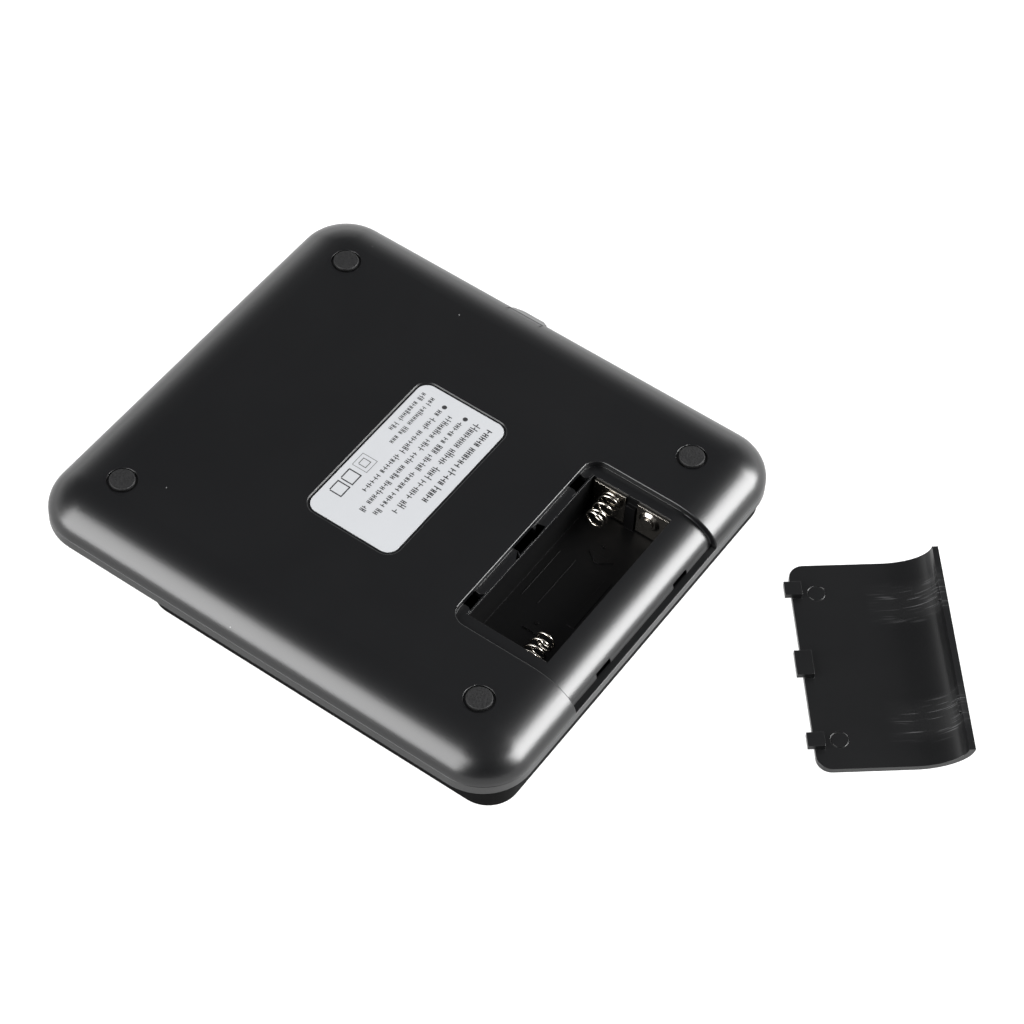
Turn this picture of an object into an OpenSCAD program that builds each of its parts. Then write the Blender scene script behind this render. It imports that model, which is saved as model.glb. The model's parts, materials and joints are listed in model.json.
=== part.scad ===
// Pocket platform scale, lying face down with its battery cover taken off and laid beside it.
// The origin is on the surface it lies on, under the middle of the body. +Z points out of the
// underside of the scale, +X points from the display end to the battery end.

/* [Body] */
// Length of the housing, display end to battery end
body_l = 135.5; // [120:1:180]
// Width of the housing
body_w = 120.5; // [110:1:160]
// Corner radius of the housing in plan
corner_r = 13.2; // [13.1:0.1:20]
// How far the rounded edge of the underside runs in from the side
edge_run = 13; // [8:0.5:13]
// How far the rounded edge drops from the underside to the parting line
edge_drop = 7.9; // [8:0.1:12]
// Height of the flat band below the parting line
band_h = 2.7; // [2.1:0.1:4]
// Wall of both shells
wall = 2; // [1.6:0.1:2.4]
// Place of the small tab along the side of the housing
tab_x = -7.2; // [-20:0.1:20]
// Length of the small tab at its foot
tab_l = 9.8; // [6:0.1:16]
// How far the small tab stands out
tab_out = 0.9; // [0.6:0.1:2]
// Width of the tongue that locates the top shell in the base shell
tongue_t = 1.2; // [0.8:0.1:1.6]
// Height of the tongue above the parting line
tongue_h = 1.5; // [1:0.1:2]

/* [Platform] */
// Distance from the weighing face to the face of the housing behind it
tray_drop = 7.3; // [6.8:0.1:10]
// Distance from the display end of the housing to the platform
display_l = 31.4; // [31.2:0.1:45]
// How far the platform stays inside the housing at the battery end
tray_gap_end = 1.8; // [0.5:0.1:4]
// How far the platform stays inside the housing at each side
tray_gap_side = 3.1; // [0.5:0.1:5]
// Corner radius of the platform
tray_r = 8; // [5:0.1:14]
// Floor of the platform tray
tray_floor = 2; // [1.6:0.1:2.4]
// Wall of the platform tray
tray_wall = 1.6; // [1.2:0.1:2.4]
// Gap between the rim of the tray and the housing
tray_gap = 0.7; // [0.6:0.1:1]
// Thickness of the steel skin on the weighing face
skin_t = 0.8; // [0.5:0.1:1]
// Plastic rim left around the steel skin
skin_rim = 1.6; // [1:0.1:3]
// Travel of the platform between rest and its overload stop
press_travel = 0.4; // [0.2:0.05:0.4]

/* [Load cell] */
// Width of the load cell bar
cell_w = 12; // [10:0.5:14]
// Length of the load cell bar
cell_l = 58; // [50:1:64]
// Thickness of the load cell bar
cell_t = 6; // [5:0.1:6]
// Gap between the bar and the inside of the base shell
cell_gap = 0.5; // [0.5:0.1:0.8]
// Distance between the two screws at each end of the bar
cell_pitch = 12; // [10:0.5:14]
// Radius of the load cell screws
cell_screw_r = 1.45; // [1.2:0.05:1.7]
// Thickness of the steel spider under the platform
spider_t = 1.5; // [1:0.1:1.5]

/* [Battery bay] */
// Width of the bay, across two cells side by side
bay_w = 22; // [21.6:0.1:24]
// Length of the bay, along the cells and their springs
bay_l = 50.8; // [50:0.1:54]
// Depth of the bay below the ledge that carries the cover
bay_depth = 10.9; // [10.7:0.1:11.2]
// Distance from the battery end of the housing to the bay
bay_end = 11; // [10.5:0.1:14]
// Sideways place of the bay from the middle of the housing
bay_shift = 0.2; // [-2:0.1:2]
// Wall of the bay
bay_wall = 1.1; // [0.9:0.1:1.3]
// Width of the ledge with the three tab slots
ledge_w = 2.7; // [2.5:0.1:4]
// Thickness of the contact plates
plate_t = 0.4; // [0.3:0.05:0.5]
// Free length of the battery springs
spring_l = 7.6; // [7:0.1:11]
// Radius of the spring wire
spring_wire = 0.24; // [0.2:0.01:0.4]
// Coil radius of a spring at its contact plate
spring_r1 = 2.65; // [2:0.05:3.2]
// Coil radius of a spring at its free end
spring_r2 = 2.35; // [1.8:0.05:2.8]
// Turns of a spring
spring_turns = 4.5; // [4:0.5:7]

/* [Cover] */
// Width of the recess that takes the cover
recess_w = 58.2; // [56:0.1:66]
// Depth of the recess below the underside
recess_d = 1.65; // [1.5:0.05:1.9]
// Corner radius of the recess
recess_r = 4; // [3:0.1:6]
// Thickness of the cover
cover_t = 1.5; // [1.2:0.05:1.5]
// Gap round the cover in its recess
cover_gap = 0.35; // [0.2:0.05:0.5]
// Width of the two outer tabs of the cover
tab_w = 3.8; // [3:0.1:6]
// Width of the middle tab of the cover
tab_mid_w = 6.8; // [5:0.1:9]
// Distance of the outer tabs from the middle tab
tab_pitch = 21.3; // [16:0.1:22]
// How far the tabs reach past the edge of the cover
tab_reach = 1.8; // [1:0.1:2]
// Thickness of the tabs
tab_t = 1.4; // [1:0.1:1.6]
// Width of the latch notches under the lip
notch_w = 5.5; // [4:0.1:8]
// Distance of each latch notch from the middle
notch_pitch = 15.8; // [12:0.1:20]
// Turn of the loose cover on the surface
cover_turn = 39.2; // [0:0.1:60]
// Place of the loose cover: middle of its tab edge, along X
cover_x = 99.3; // [98:0.1:130]
// Place of the loose cover: middle of its tab edge, along Y
cover_y = 18.6; // [-30:0.1:30]

/* [Feet and label] */
// Distance between the feet along the housing
foot_dx = 102.5; // [90:0.5:110]
// Distance between the feet across the housing
foot_dy = 86.5; // [76:0.5:96]
// Place of the middle of the four feet along the housing
foot_cx = -0.4; // [-3:0.1:3]
// Place of the middle of the four feet across the housing
foot_cy = -0.2; // [-3:0.1:3]
// Radius of a rubber foot
foot_r = 3.1; // [3:0.1:4]
// Height of a foot above the underside
foot_h = 0.5; // [0.4:0.1:1.5]
// Radius of the recess round a foot
foot_recess_r = 3.65; // [3.4:0.05:5]
// Depth of the recess round a foot
foot_recess_d = 0.5; // [0.3:0.05:0.6]
// Length of the rating label, across the housing
label_l = 47.1; // [30:0.1:50]
// Width of the rating label, along the housing
label_w = 24.8; // [15:0.1:26]
// Corner radius of the rating label
label_r = 3; // [1:0.1:5]
// Place of the label along the housing
label_x = -1; // [-6:0.1:2]
// Place of the label across the housing
label_y = 0.1; // [-6:0.1:6]

/* [Display and keys] */
// Length of the display window, across the housing
window_l = 54; // [40:0.5:58]
// Width of the display window, along the housing
window_w = 13; // [11:0.5:13.5]
// Thickness of the display window
window_t = 1; // [0.8:0.1:1.2]
// Distance from the platform to the middle of the display
display_in = 8.8; // [8.6:0.1:12]
// Length of a key, across the housing
key_l = 14; // [10:0.5:15]
// Width of a key, along the housing
key_w = 5; // [4:0.1:5.5]
// Distance from key to key
key_pitch = 20; // [16.5:0.5:21]
// Distance from the display end of the housing to the row of keys
key_end = 10.3; // [10.1:0.1:11]
// Travel of a key
key_travel = 0.35; // [0.2:0.05:0.5]
// Gap round a key in its opening
key_gap = 0.3; // [0.25:0.05:0.5]
// Length of the circuit board, across the housing
board_l = 73; // [66:0.5:74]
// Thickness of the circuit board
board_t = 1.2; // [0.8:0.1:1.6]

/* [Hidden] */
$fn = 64;

// Levels above the weighing face
top_z = tray_drop;
part_z = top_z + band_h;
deck_z = part_z + edge_drop;
plate_in_z = top_z + wall;
deck_in_z = deck_z - wall;
ledge_z = deck_z - recess_d;
bay_z = ledge_z - bay_depth;
tub_z = bay_z - bay_wall;
well_gap = 0.3;
well_wall = 1;
well_z = tub_z - well_gap - well_wall;
cell_z = deck_in_z - cell_gap - cell_t;
rim_z = top_z - tray_gap;
spider_z = rim_z - spider_t;

// Places along the housing
hl = body_l / 2;
hw = body_w / 2;
bay_x1 = hl - bay_end;
bay_x0 = bay_x1 - bay_w;
bay_y0 = bay_shift - bay_l / 2;
bay_y1 = bay_shift + bay_l / 2;
recess_x0 = bay_x0 - ledge_w;
tray_x0 = display_l - hl;
tray_x1 = hl - tray_gap_end;
tray_hw = hw - tray_gap_side;
cell_x = (tray_x0 + tray_x1) / 2;
lcd_x = tray_x0 - display_in;
key_x = key_end - hl;
board_x0 = key_x - 3.4;
board_x1 = lcd_x + 10.5;
board_z = plate_in_z + 4.2;
backing_t = 1.5;
mark_h = 0.4;
arc_steps = 16;
slot_w_gap = 0.35;
rail_t = 0.45;
pad_r = (ledge_w - rail_t) / 2;
eps = 0.01;

// Fasteners and small parts
foot_screw_r = 1.1;
foot_screw_head_r = 2.3;
foot_screw_head_h = 1.6;
boss_r = 4.5;
boss_split_z = plate_in_z + 2.9;
fit = 0.02;
wire_r = 0.5;
board_boss_r = 1.8;
board_screw_r = 0.9;
board_screw_y = board_l / 2 - 2.6;
key_cap_out = 0.8;
overlay_t = 0.4;
flange_t = 0.8;
plunger_r = 1.5;
plunger_fit = 0.05;
switch_size = 6;
post_pin_r = 1.5;

// Battery contacts
inner_x = bay_x0 + bay_w / 4 + 0.3;
outer_x = bay_x1 - bay_w / 4;
cell_mid_z = bay_z + 6.4;
plate_h = 9.6;
spring_rings = 72;
spring_sides = 8;

// Platform, load cell and leads
post_r = 3.4;
post_x0 = tray_x0 + 12;
post_x1 = tray_x1 - 14;
post_y = tray_hw - 18;
pad_l = cell_pitch + 9;

board_top = board_z + board_t;
wire_on_board = board_top + wire_r + 0.02;
wire_mid_z = bay_z + 7;

// Display
switch_z = board_z - 2.6;
glass_z = plate_in_z + 0.1;
glass_t = 1.8;
glass_w = window_w + 1.4;
zebra_w = 1.8;

// ---- Shapes shared by the pieces ----

// Outline of the rounded edge at a depth below the outer surface, from the parting line up
function edge_curve(depth, half) = [
    for (i = [0:arc_steps])
        let (t = 90 * i / arc_steps)
        [
            half - depth - (edge_run - depth) * (1 - cos(t)),
            part_z + (edge_drop - depth) * sin(t)
        ]
];

// Quarter of a rounded slab's edge, turned about the centre of a corner
module slab_corner(depth, low) {
    rotate_extrude(angle = 90)
        polygon(concat([[0, low]], [[corner_r - depth, low]], edge_curve(depth, corner_r),
            [[0, deck_z - depth]]));
}

// Solid inside the housing's outer surface, pulled in by depth, down to the level low
module rounded_slab(depth, low) {
    cx = hl - corner_r;
    cy = hw - corner_r;
    half = edge_curve(depth, hw);
    other = [for (i = [arc_steps:-1:0]) [-half[i][0], half[i][1]]];
    rotate([90, 0, 90])
        linear_extrude(height = 2 * cx, center = true)
            polygon(concat([[-hw + depth, low]], [[hw - depth, low]], half, other));
    for (end = [0, 180])
        rotate(end)
            translate([cx, 0, 0])
                rotate([90, 0, 0])
                    linear_extrude(height = 2 * cy, center = true)
                        polygon(concat([[0, low]], [[corner_r - depth, low]],
                            edge_curve(depth, corner_r), [[0, deck_z - depth]]));
    for (sx = [0, 1])
        for (sy = [0, 1])
            mirror([sx, 0, 0])
                mirror([0, sy, 0])
                    translate([cx, cy, 0])
                        slab_corner(depth, low);
}

// Upright prism with a rounded outline
module rounded_prism(x0, x1, y0, y1, r, z0, z1) {
    translate([x0 + r, y0, z0])
        cube([x1 - x0 - 2 * r, y1 - y0, z1 - z0]);
    translate([x0, y0 + r, z0])
        cube([x1 - x0, y1 - y0 - 2 * r, z1 - z0]);
    for (x = [x0 + r, x1 - r])
        for (y = [y0 + r, y1 - r])
            translate([x, y, z0])
                cylinder(r = r, h = z1 - z0);
}

module block(x0, x1, y0, y1, z0, z1) {
    translate([x0, y0, z0])
        cube([x1 - x0, y1 - y0, z1 - z0]);
}

// Everything above the curve at a depth below the outer surface, over a width about y = 0
module above_curve(depth, x0, width) {
    rotate([90, 0, 0])
        linear_extrude(height = width, center = true)
            polygon(concat([[x0, deck_z + 5], [x0, deck_z - depth]],
                [for (i = [arc_steps:-1:0]) edge_curve(depth, hl)[i]],
                [[hl - depth, part_z - 5], [hl + 5, part_z - 5], [hl + 5, deck_z + 5]]));
}

// Space of the cover in the housing, with a gap left round it
module cover_plan(gap) {
    rounded_prism(recess_x0 + gap, hl + 10, gap - recess_w / 2, recess_w / 2 - gap,
        recess_r - gap, part_z - 5, deck_z + 5);
}

module at_feet() {
    for (x = [-1, 1])
        for (y = [-1, 1])
            translate([foot_cx + x * foot_dx / 2, foot_cy + y * foot_dy / 2, 0])
                children();
}

module at_board_screws() {
    for (p = [[key_x + 2, 0], [board_x1 - 2.6, -board_screw_y], [board_x1 - 2.6, board_screw_y]])
        translate([p[0], p[1], 0])
            children();
}

module at_keys() {
    for (i = [0:3])
        translate([key_x, (i - 1.5) * key_pitch, 0])
            children();
}

// Outline of a key, grown by a margin
module key_outline(margin, z0, z1) {
    rounded_prism(-key_w / 2 - margin, key_w / 2 + margin, -key_l / 2 - margin,
        key_l / 2 + margin, 1.4 + margin, z0, z1);
}

// ---- Housing ----

module bay_tub() {
    block(bay_x0 - bay_wall, bay_x1 + bay_wall, bay_y0 - bay_wall, bay_y1 + bay_wall,
        tub_z, deck_in_z);
}

module cover_backing() {
    intersection() {
        rounded_slab(0, part_z);
        above_curve(recess_d + backing_t, recess_x0 - backing_t, recess_w + 2 * backing_t);
    }
}

// Small tab standing out of the long side, with sloped ends and a sloped top
module side_tab() {
    inside = hw - wall + 0.2;
    meet_y = hw - edge_run * (1 - cos(36));
    meet_z = part_z + edge_drop * sin(36);
    intersection() {
        rotate([90, 0, 90])
            translate([0, 0, tab_x - tab_l / 2])
                linear_extrude(height = tab_l)
                    polygon([[inside, part_z + 0.3], [hw + tab_out, part_z + 0.3],
                        [hw + tab_out, part_z + 1.6], [meet_y, meet_z],
                        [meet_y - 0.1, meet_z - 0.8 * wall], [inside, part_z + 2]]);
        translate([tab_x, 0, 0])
            linear_extrude(height = deck_z)
                polygon([[-tab_l / 2, inside - 2], [-tab_l / 2, hw - 0.8], [1.8 - tab_l / 2, hw + tab_out],
                    [tab_l / 2 - 1.8, hw + tab_out], [tab_l / 2, hw - 0.8], [tab_l / 2, inside - 2]]);
    }
}

// Rounded end of the ledge between two slots
module ledge_end(y) {
    x = (recess_x0 + bay_x0 - rail_t) / 2;
    translate([x, y, 0])
        cylinder(r = pad_r, h = deck_z);
    block(recess_x0 - tab_reach - 1, x, y - pad_r, y + pad_r, 0, deck_z);
}

module tab_slots() {
    for (i = [-1:1]) {
        w = (i == 0 ? tab_mid_w : tab_w) + 2 * slot_w_gap;
        y = i * tab_pitch + bay_shift;
        difference() {
            block(recess_x0 - tab_reach - 0.3, bay_x0 - rail_t, y - w / 2 - pad_r, y + w / 2 + pad_r,
                ledge_z - tab_t - 0.6, ledge_z + eps);
            for (end = [-1, 1])
                ledge_end(y + end * (w / 2 + pad_r));
        }
    }
}

module latch_notches() {
    for (y = [-1, 1])
        block(hl - recess_d - backing_t - 1, hl + 1,
            y * notch_pitch + bay_shift - notch_w / 2, y * notch_pitch + bay_shift + notch_w / 2,
            part_z - 1, part_z + 1.5);
}

module base_shell() {
    color("#232325")
    difference() {
        union() {
            difference() {
                rounded_slab(0, part_z);
                rounded_slab(wall, part_z - 1);
            }
            cover_backing();
            bay_tub();
            side_tab();
            at_feet()
                translate([0, 0, boss_split_z])
                    cylinder(r = boss_r, h = deck_in_z + eps - boss_split_z);
            block(cell_x - cell_w / 2, cell_x + cell_w / 2, -cell_l / 2, -cell_l / 2 + cell_pitch + 9,
                deck_in_z - cell_gap, deck_in_z + eps);
        }
        intersection() {
            above_curve(recess_d, recess_x0 - 5, body_w);
            cover_plan(0);
        }
        block(bay_x0, bay_x1, bay_y0, bay_y1, bay_z, deck_z + 1);
        tab_slots();
        latch_notches();
        at_feet() {
            translate([0, 0, deck_z - foot_recess_d])
                cylinder(r = foot_recess_r, h = 2);
            translate([0, 0, deck_z - foot_recess_d - foot_screw_head_h - 0.1])
                cylinder(r = foot_screw_head_r + 0.2, h = 3);
            translate([0, 0, boss_split_z - 1])
                cylinder(r = foot_screw_r + 0.25, h = deck_z - boss_split_z);
        }
        for (y = [4.5, 4.5 + cell_pitch])
            translate([cell_x, y - cell_l / 2, deck_in_z - cell_gap - 1])
                cylinder(r = cell_screw_r + fit, h = cell_gap + 2.2);
        rounded_prism(label_x - label_w / 2 - 0.7, label_x + label_w / 2 + 0.7,
            label_y - label_l / 2 - 0.7, label_y + label_l / 2 + 0.7, label_r + 0.7,
            deck_z - 0.3, deck_z + 1);
        // openings for the leads of the contact plates
        for (x = [inner_x, outer_x])
            translate([x, bay_y1 - 1, bay_z + 7])
                rotate([-90, 0, 0])
                    cylinder(r = wire_r + 0.1, h = bay_wall + 2);
    }
    bay_marks();
}

// Rib between the two contacts, and the low raised marks on the floor of the bay
module bay_marks() {
    mid = bay_x0 + bay_w / 2;
    color("#232325") {
        block(mid - 1.1, mid + 1.6, bay_y1 - 1, bay_y1 + eps, bay_z - eps, ledge_z - 2.8);
        translate([mid, 0, bay_z - eps]) {
            for (end = [-1, 1])
                rotate(end < 0 ? 0 : 180)
                    translate([0, -bay_l / 4, 0])
                        linear_extrude(height = mark_h)
                            polygon([[-3.4, -1.1], [3.4, -1.1], [0.6, 1.1], [-0.6, 1.1]]);
            for (y = [1.8 - bay_l / 4, 4 + bay_l / 4])
                translate([-1.2, y, 0])
                    cylinder(r = 0.45, h = mark_h);
            for (x = [-bay_w / 4 - 3.4, -bay_w / 4 + 1.1])
                block(x - 0.12, x + 0.12, -bay_l / 8, 3 * bay_l / 16, 0, 0.15);
            block(bay_w / 4 - 1, bay_w / 4 + 1, -bay_l / 7, bay_l / 6, 0, 0.15);
        }
    }
}

module top_shell() {
    color("#242426")
    difference() {
        union() {
            rounded_prism(-hl, hl, -hw, hw, corner_r, top_z, plate_in_z);
            difference() {
                rounded_prism(-hl, hl, -hw, hw, corner_r, plate_in_z - eps, part_z);
                rounded_prism(wall - hl, hl - wall, wall - hw, hw - wall, corner_r - wall,
                    plate_in_z - 1, part_z + 1);
            }
            difference() {
                rounded_prism(wall + 0.7 - hl, hl - wall - 0.7, wall + 0.7 - hw, hw - wall - 0.7,
                    corner_r - wall - 0.7, plate_in_z - eps, part_z + tongue_h);
                rounded_prism(wall + 0.7 + tongue_t - hl, hl - wall - 0.7 - tongue_t,
                    wall + 0.7 + tongue_t - hw, hw - wall - 0.7 - tongue_t,
                    corner_r - wall - 0.7 - tongue_t, plate_in_z - 1, part_z + tongue_h + 1);
                block(hl / 2, hl + 1, -recess_w / 2 - backing_t - 0.5,
                    recess_w / 2 + backing_t + 0.5, plate_in_z, part_z + tongue_h + 1);
            }
            block(bay_x0 - bay_wall - well_gap - well_wall, bay_x1 + bay_wall + well_gap + well_wall,
                bay_y0 - bay_wall - well_gap - well_wall, bay_y1 + bay_wall + well_gap + well_wall,
                well_z, plate_in_z);
            at_feet()
                translate([0, 0, plate_in_z - eps])
                    cylinder(r = boss_r - 1, h = boss_split_z - 0.1 - plate_in_z);
            at_board_screws()
                translate([0, 0, plate_in_z - eps])
                    cylinder(r = board_boss_r, h = board_z - plate_in_z + eps);
        }
        block(bay_x0 - bay_wall - well_gap, bay_x1 + bay_wall + well_gap,
            bay_y0 - bay_wall - well_gap, bay_y1 + bay_wall + well_gap,
            well_z + well_wall, plate_in_z + 1);
        block(cell_x - cell_w / 2 - 3, cell_x + cell_w / 2 + 3, -cell_l / 2 - 3, cell_l / 2 + 3,
            top_z - 1, plate_in_z + 1);
        at_feet()
            translate([0, 0, top_z + 1])
                cylinder(r = foot_screw_r + fit, h = boss_split_z);
        at_board_screws()
            translate([0, 0, plate_in_z])
                cylinder(r = board_screw_r + fit, h = board_z);
        block(lcd_x - window_w / 2, lcd_x + window_w / 2, -window_l / 2, window_l / 2,
            top_z - 1, top_z + window_t + 0.05);
        block(lcd_x - window_w / 2 + 1, lcd_x + window_w / 2 - 1, 2 - window_l / 2,
            window_l / 2 - 2, top_z, plate_in_z + 1);
        at_keys()
            key_outline(key_gap, top_z - 1, plate_in_z + 1);
    }
}

module foot(x, y) {
    color("#1d1d1e")
        translate([foot_cx + x * foot_dx / 2, foot_cy + y * foot_dy / 2, deck_z - foot_recess_d])
            cylinder(r = foot_r, h = foot_recess_d + foot_h);
}

module rating_label() {
    color("#e2e4e6")
        rounded_prism(label_x - label_w / 2, label_x + label_w / 2, label_y - label_l / 2,
            label_y + label_l / 2, label_r, deck_z - 0.3, deck_z - 0.12);
}

module housing_screws() {
    color("silver")
        at_feet() {
            translate([0, 0, deck_z - foot_recess_d - foot_screw_head_h - 0.05])
                cylinder(r = foot_screw_head_r, h = foot_screw_head_h);
            translate([0, 0, top_z + 1.4])
                cylinder(r = foot_screw_r, h = deck_z - foot_recess_d - foot_screw_head_h - top_z - 1.4);
        }
}

// ---- Battery contacts ----

function spring_r(t) = spring_r1 + (spring_r2 - spring_r1) * t;

// Rise of the wire: one close turn at each end, open turns between
function spring_rise(n) = let (close = 2.3 * spring_wire, open = spring_turns - 2)
    close * (min(n, 1) + max(0, n - 1 - open))
    + (spring_l - 2 * spring_wire - 2 * close) * max(0, min(n - 1, open)) / open;
function spring_point(t) = let (a = 360 * spring_turns * t)
    [spring_r(t) * cos(a), spring_r(t) * sin(a), spring_wire + spring_rise(spring_turns * t)];

// A ring of points round the wire, square to the coil
function spring_ring(t) = let (a = 360 * spring_turns * t, p = spring_point(t))
    [for (k = [0:spring_sides - 1]) let (b = 360 * k / spring_sides)
        p + spring_wire * [cos(b) * cos(a), cos(b) * sin(a), sin(b)]];

module battery_spring() {
    points = [for (i = [0:spring_rings]) each spring_ring(i / spring_rings)];
    sides = [for (i = [0:spring_rings - 1]) for (k = [0:spring_sides - 1])
        let (a = i * spring_sides, b = (k + 1) % spring_sides)
        [a + k, a + spring_sides + k, a + spring_sides + b, a + b]];
    first = [for (k = [0:spring_sides - 1]) k];
    last = [for (k = [spring_sides - 1:-1:0]) spring_rings * spring_sides + k];
    polyhedron(points, concat(sides, [first], [last]), convexity = 10);
}

module spring_inner() {
    color("silver")
        translate([inner_x, bay_y1 - 0.15 - plate_t, cell_mid_z])
            rotate([90, 0, 0])
                battery_spring();
}

module spring_outer() {
    color("silver")
        translate([outer_x, bay_y0 + 0.15 + plate_t, cell_mid_z])
            rotate([-90, 0, 0])
                battery_spring();
}

module contact_plate(x0, x1, y0) {
    block(x0, x1, y0, y0 + plate_t, bay_z + 0.4, bay_z + 0.4 + plate_h);
}

module nub(x, y, turn) {
    translate([x, y, cell_mid_z])
        rotate([turn, 0, 0]) {
            cylinder(r1 = 2.9, r2 = 2.1, h = 0.7);
            cylinder(r = 1.5, h = 1.1);
        }
}

module spring_plate() {
    color("silver")
        contact_plate(bay_x0 + 0.6, bay_x0 + bay_w / 2 - 1.4, bay_y1 - 0.15 - plate_t);
}

module positive_plate() {
    color("silver") {
        contact_plate(bay_x0 + bay_w / 2 + 1.9, bay_x1 - 0.3, bay_y1 - 0.15 - plate_t);
        nub(outer_x, bay_y1 - 0.15 - plate_t + eps, 90);
    }
}

module link_plate() {
    color("silver") {
        contact_plate(bay_x0 + 0.6, bay_x1 - 0.6, bay_y0 + 0.15);
        nub(inner_x, bay_y0 + 0.15 + plate_t - eps, -90);
    }
}

// ---- Cover ----

// Plate and lip of the cover, following the housing's outer surface
module cover_plate() {
    outer = [for (i = [arc_steps:-1:1]) edge_curve(0, hl)[i]];
    inner = [for (i = [1:arc_steps]) edge_curve(cover_t, hl)[i]];
    intersection() {
        cover_plan(cover_gap);
        rotate([90, 0, 0])
            linear_extrude(height = body_w, center = true)
                polygon(concat([[recess_x0 - 1, deck_z]], outer,
                    [[hl, part_z + 0.15], [hl - cover_t, part_z + 0.15]], inner,
                    [[recess_x0 - 1, deck_z - cover_t]]));
    }
}

// Tabs that hook under the underside of the housing
module cover_tabs() {
    edge = recess_x0 + cover_gap;
    for (i = [-1:1]) {
        w = i == 0 ? tab_mid_w : tab_w;
        y = i * tab_pitch + bay_shift;
        block(edge - tab_reach, edge + 2.3, y - w / 2, y + w / 2,
            ledge_z - 0.15 - tab_t, ledge_z - 0.15);
        block(edge + 0.3, edge + 2.3, y - w / 2, y + w / 2,
            ledge_z - 0.15 - tab_t, deck_z - cover_t + eps);
    }
}

// Nubs inside the lip that snap into the latch notches
module cover_nubs() {
    for (s = [-1, 1])
        translate([hl - cover_t, s * notch_pitch + bay_shift, part_z + 0.3])
            rotate([90, 0, 0])
                linear_extrude(height = notch_w - 1, center = true)
                    polygon([[eps, 0], [-0.7, 0.2], [-0.7, 0.7], [eps, 1.1]]);
}

module ejector_marks() {
    for (s = [-1, 1])
        translate([recess_x0 + cover_gap + 6, s * 20.7 + bay_shift, deck_z - cover_t - eps])
            difference() {
                cylinder(r = 2.2, h = 0.12);
                translate([0, 0, -1])
                    cylinder(r = 2, h = 3);
            }
}

module battery_cover() {
    color("#1c1c1e")
        translate([cover_x, cover_y, 0])
            rotate(cover_turn)
                translate([-recess_x0 - cover_gap, 0, deck_z])
                    rotate([180, 0, 0])
                        difference() {
                            union() {
                                cover_plate();
                                cover_tabs();
                                cover_nubs();
                            }
                            ejector_marks();
                        }
}

// ---- Platform ----

module at_posts() {
    for (x = [post_x0, post_x1])
        for (y = [-1, 1])
            translate([x, y * post_y, 0])
                children();
}

// Places of the two screws at the free end (1) or the fixed end (-1) of the load cell
module at_cell_screws(end) {
    for (d = [4.5, 4.5 + cell_pitch])
        translate([cell_x, end * (cell_l / 2 - d), 0])
            children();
}

module platform_tray() {
    color("#0f0f10") {
        difference() {
            rounded_prism(tray_x0, tray_x1, -tray_hw, tray_hw, tray_r, 0, rim_z);
            rounded_prism(tray_x0 + tray_wall, tray_x1 - tray_wall, tray_wall - tray_hw,
                tray_hw - tray_wall, tray_r - tray_wall, tray_floor, rim_z + 1);
            rounded_prism(tray_x0 + skin_rim, tray_x1 - skin_rim, skin_rim - tray_hw,
                tray_hw - skin_rim, tray_r - skin_rim, -1, skin_t);
        }
        at_posts()
            translate([0, 0, tray_floor - eps]) {
                cylinder(r = post_r, h = spider_z - tray_floor + eps);
                cylinder(r = post_pin_r, h = spider_z + spider_t - tray_floor);
            }
    }
}

module platform_skin() {
    color("#b9bbbe")
        rounded_prism(tray_x0 + skin_rim + 0.1, tray_x1 - skin_rim - 0.1,
            skin_rim + 0.1 - tray_hw, tray_hw - skin_rim - 0.1, tray_r - skin_rim - 0.1,
            0, skin_t - 0.02);
}

module platform_spider() {
    color("#8d9093")
        difference() {
            union() {
                block(cell_x - cell_w / 2 - 5, cell_x + cell_w / 2 + 5, -post_y - 4.5, post_y + 4.5,
                    spider_z, spider_z + spider_t);
                for (y = [-post_y, post_y])
                    block(post_x0 - 5, post_x1 + 5, y - 5, y + 5, spider_z, spider_z + spider_t);
            }
            at_posts()
                translate([0, 0, spider_z - 1])
                    cylinder(r = post_pin_r + plunger_fit, h = spider_t + 2);
            at_cell_screws(1)
                translate([0, 0, spider_z - 1])
                    cylinder(r = cell_screw_r + fit, h = spider_t + 2);
        }
}

module platform_spacer() {
    color("#a5a8ab")
        difference() {
            block(cell_x - cell_w / 2, cell_x + cell_w / 2, cell_l / 2 - pad_l, cell_l / 2,
                spider_z + spider_t, cell_z);
            at_cell_screws(1)
                translate([0, 0, spider_z])
                    cylinder(r = cell_screw_r + fit, h = cell_z);
        }
}

module platform_screws() {
    color("silver")
        at_cell_screws(1) {
            translate([0, 0, spider_z - 1.6])
                cylinder(r = cell_screw_r + 1.2, h = 1.6);
            translate([0, 0, spider_z - eps])
                cylinder(r = cell_screw_r, h = cell_z + cell_t - 0.5 - spider_z);
        }
}

// ---- Load cell ----

module load_cell() {
    color("#c9cbcf")
        difference() {
            block(cell_x - cell_w / 2, cell_x + cell_w / 2, -cell_l / 2, cell_l / 2,
                cell_z, cell_z + cell_t);
            for (y = [-5, 5])
                translate([cell_x, y, cell_z + cell_t / 2])
                    rotate([0, 90, 0])
                        cylinder(r = cell_t / 2 - 0.9, h = cell_w + 2, center = true);
            block(cell_x - cell_w, cell_x + cell_w, -5, 5, cell_z + cell_t / 2 - 0.6,
                cell_z + cell_t / 2 + 0.6);
            for (end = [-1, 1])
                at_cell_screws(end)
                    translate([0, 0, cell_z - 1])
                        cylinder(r = cell_screw_r + fit, h = cell_t + 2);
        }
}

module strain_gauges() {
    color("white")
        for (z = [cell_z - 0.3, cell_z + cell_t])
            block(cell_x - cell_w / 2 + 1, cell_x + cell_w / 2 - 1, -7, 7, z, z + 0.3);
}

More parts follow.
